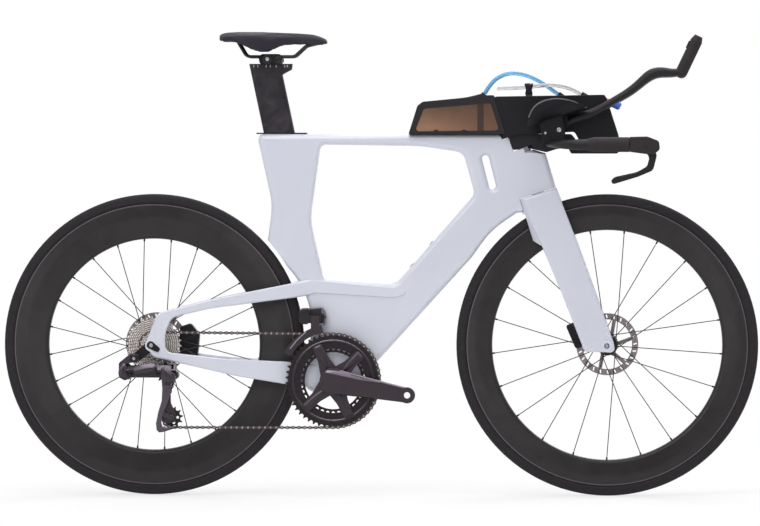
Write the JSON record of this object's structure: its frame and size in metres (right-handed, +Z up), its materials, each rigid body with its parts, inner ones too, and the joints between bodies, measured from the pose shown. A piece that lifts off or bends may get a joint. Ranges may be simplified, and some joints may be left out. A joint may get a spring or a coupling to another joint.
{
  "type": "time trial bike",
  "caption": "Aero time trial bike with deep-section wheels, disc brakes, chain drive with a parallelogram derailleur, aero bars on arm cups, a drink box and a top tube storage box.",
  "frame": {"origin": "on the ground midway between the axles, in the bike's middle plane", "axes": "+X forward, +Y to the rider's left, +Z up; the drive side is on -Y"},
  "size_m": [1.6989, 0.433, 1.0414],
  "materials": {
    "frame_paint": "gloss pale grey paint",
    "post_carbon": "satin carbon",
    "rim_carbon": "satin carbon",
    "tyre": "matt rubber",
    "steel": "brushed",
    "alloy_dark": "dark anodised",
    "alloy": "machined",
    "black_plastic": "matt",
    "rubber": "matt rubber",
    "window": "smoky brown translucent",
    "hose_blue": "translucent blue",
    "hose_clear": "translucent white",
    "foam": "covered foam",
    "saddle_skin": "matt synthetic skin"
  },
  "bodies": {
    "frame": {"frame_main": "frame_paint", "frame_bearings": "steel", "stay_right": "frame_paint", "stay_left": "frame_paint", "seat_gasket": "rubber", "bottle_inserts": "steel", "rear_axle": "alloy_dark", "rear_caliper": "alloy_dark", "hanger": "alloy_dark", "derailleur_body": "black_plastic", "front_shifter": "black_plastic", "storage_box": "black_plastic", "storage_windows": "window", "chain": "steel", "blue_hose": "hose_blue"},
    "steering": {"fork": "frame_paint", "front_axle": "alloy_dark", "front_caliper": "alloy_dark", "base_bar": "black_plastic", "bar_grips": "rubber", "brake_hoods": "black_plastic", "extensions": "black_plastic", "extension_grips": "rubber", "arm_cups": "black_plastic", "arm_pads": "foam", "arm_brackets": "black_plastic", "front_box": "black_plastic", "box_lid": "black_plastic", "straw": "hose_clear", "box_fittings": "black_plastic"},
    "front_wheel": {"front_tyre": "tyre", "front_rim": "rim_carbon", "front_spokes": "steel", "front_hub": "alloy_dark", "front_rotor": "steel"},
    "rear_wheel": {"rear_tyre": "tyre", "rear_rim": "rim_carbon", "rear_spokes": "steel", "rear_hub": "alloy_dark", "rear_rotor": "steel"},
    "crankset": {"crank_right": "alloy_dark", "crank_left": "alloy_dark", "big_ring": "alloy_dark", "small_ring": "alloy_dark"},
    "cassette": {"cassette": "steel"},
    "outer_link": {"derailleur_outer_link": "black_plastic"},
    "inner_link": {"derailleur_inner_link": "black_plastic"},
    "knuckle": {"derailleur_knuckle": "black_plastic"},
    "cage": {"derailleur_cage": "alloy_dark"},
    "guide_pulley": {"guide_pulley": "black_plastic"},
    "tension_pulley": {"tension_pulley": "black_plastic"},
    "shifter_cage": {"shifter_cage": "alloy_dark"},
    "seat": {"seat_post": "post_carbon", "saddle_clamp": "alloy_dark"},
    "saddle": {"saddle_cover": "saddle_skin", "saddle_rails": "steel"},
    "lever_left": {"lever_left": "black_plastic"},
    "lever_right": {"lever_right": "black_plastic"},
    "button_left": {"button_left": "black_plastic"},
    "button_right": {"button_right": "black_plastic"}
  },
  "joints": [
    {"name": "steer", "type": "hinge", "parent": "frame", "child": "steering", "pos_m": [0.35465, 0, 0.68033], "axis": [-0.3007, 0, 0.9537], "range_deg": [-40, 40], "deforming": ["blue_hose"]},
    {"name": "front_wheel_spin", "type": "hinge", "parent": "steering", "child": "front_wheel", "pos_m": [0.5105, 0, 0.339], "axis": [0, 1, 0], "continuous": true},
    {"name": "rear_wheel_spin", "type": "hinge", "parent": "frame", "child": "rear_wheel", "pos_m": [-0.5105, 0, 0.339], "axis": [0, 1, 0], "continuous": true},
    {"name": "crank_spin", "type": "hinge", "parent": "frame", "child": "crankset", "pos_m": [-0.10369, 0, 0.259], "axis": [0, 1, 0], "continuous": true, "deforming": ["chain"]},
    {"name": "cassette_spin", "type": "hinge", "parent": "frame", "child": "cassette", "pos_m": [-0.5105, 0, 0.339], "axis": [0, 1, 0], "continuous": true, "deforming": ["chain"]},
    {"name": "derailleur_shift", "type": "hinge", "parent": "frame", "child": "outer_link", "pos_m": [-0.563, -0.088, 0.286], "axis": [0, 0.766, 0.6428], "range_deg": [-10, 27], "deforming": ["chain"]},
    {"name": "derailleur_parallel", "type": "hinge", "parent": "frame", "child": "inner_link", "pos_m": [-0.563, -0.079, 0.27528], "axis": [0, 0.766, 0.6428], "range_deg": [-10, 27]},
    {"name": "knuckle_turn", "type": "hinge", "parent": "outer_link", "child": "knuckle", "pos_m": [-0.467, -0.088, 0.286], "axis": [0, 0.766, 0.6428], "range_deg": [-27, 10], "deforming": ["chain"]},
    {"name": "cage_swing", "type": "hinge", "parent": "knuckle", "child": "cage", "pos_m": [-0.4795, -0.05, 0.277], "axis": [0, 1, 0], "range_deg": [-25, 30], "stiffness_Nm_per_rad": 1.5, "deforming": ["chain"]},
    {"name": "guide_spin", "type": "hinge", "parent": "cage", "child": "guide_pulley", "pos_m": [-0.4795, -0.05, 0.277], "axis": [0, 1, 0], "continuous": true, "deforming": ["chain"]},
    {"name": "tension_spin", "type": "hinge", "parent": "cage", "child": "tension_pulley", "pos_m": [-0.46627, -0.05, 0.17606], "axis": [0, 1, 0], "continuous": true, "deforming": ["chain"]},
    {"name": "front_shift", "type": "hinge", "parent": "frame", "child": "shifter_cage", "pos_m": [-0.14369, -0.052, 0.4], "axis": [1, 0, 0], "range_deg": [0, 10], "deforming": ["chain"]},
    {"name": "seat_height", "type": "slide", "parent": "frame", "child": "seat", "axis": [-0.2062, 0, 0.9785], "range_m": [-0.02, 0.03]},
    {"name": "saddle_slide", "type": "slide", "parent": "seat", "child": "saddle", "axis": [1, 0, 0], "range_m": [-0.015, 0.015]},
    {"name": "lever_left_pull", "type": "hinge", "parent": "steering", "child": "lever_left", "pos_m": [0.596, 0.2, 0.784], "axis": [0, 1, 0], "range_deg": [0, 22], "stiffness_Nm_per_rad": 1.2, "springref_deg": -8.59},
    {"name": "lever_right_pull", "type": "hinge", "parent": "steering", "child": "lever_right", "pos_m": [0.596, -0.2, 0.784], "axis": [0, 1, 0], "range_deg": [0, 22], "stiffness_Nm_per_rad": 1.2, "springref_deg": -8.59},
    {"name": "button_left_press", "type": "slide", "parent": "steering", "child": "button_left", "axis": [0.9026, 0, -0.4305], "range_m": [0, 0.0015], "stiffness_N_per_m": 1200, "springref_m": -0.0005},
    {"name": "button_right_press", "type": "slide", "parent": "steering", "child": "button_right", "axis": [0.9026, 0, -0.4305], "range_m": [0, 0.0015], "stiffness_N_per_m": 1200, "springref_m": -0.0005}
  ],
  "couplings": [
    {"joint": "cassette_spin", "follows": "crank_spin", "ratio": 3.7143},
    {"joint": "guide_spin", "follows": "crank_spin", "ratio": -4.7273},
    {"joint": "tension_spin", "follows": "crank_spin", "ratio": 4.7273},
    {"joint": "derailleur_parallel", "follows": "derailleur_shift", "ratio": 1},
    {"joint": "knuckle_turn", "follows": "derailleur_shift", "ratio": -1}
  ]
}
